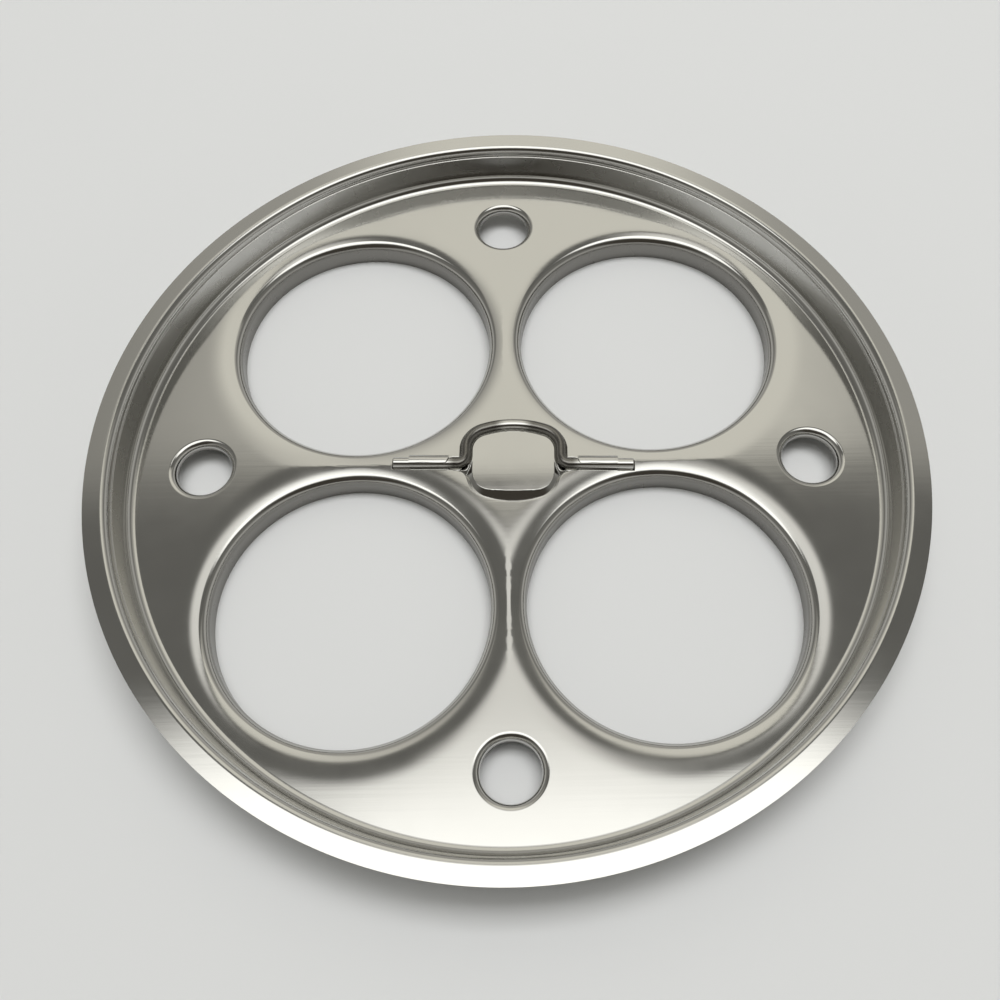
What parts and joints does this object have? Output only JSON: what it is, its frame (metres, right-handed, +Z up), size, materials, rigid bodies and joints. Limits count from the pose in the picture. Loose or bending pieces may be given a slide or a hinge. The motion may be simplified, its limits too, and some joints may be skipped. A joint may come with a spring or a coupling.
{
  "type": "egg poacher insert plate",
  "caption": "Round pressed stainless insert plate for an egg poacher, with cup holes, steam holes and a fold-down wire lifting bail.",
  "frame": {"origin": "on the plate's axis, on the surface that the lower edges of the cup-hole flanges stand on", "axes": "+Z up along the plate's axis, +Y towards the side that the folded bail lies on, +X along its legs to the right"},
  "size_m": [0.23, 0.23, 0.0203],
  "materials": {
    "plate_steel": "satin stainless sheet, lightly used",
    "wire_steel": "bright drawn stainless wire"
  },
  "bodies": {
    "plate": {"insert_plate": "plate_steel"},
    "bail": {"bail_handle": "wire_steel"}
  },
  "joints": [
    {"name": "bail_fold", "type": "hinge", "parent": "plate", "child": "bail", "pos_m": [0.0019, -0.0006, 0.0086], "axis": [0.9997, -0.0262, 0], "range_deg": [0, 145]}
  ]
}
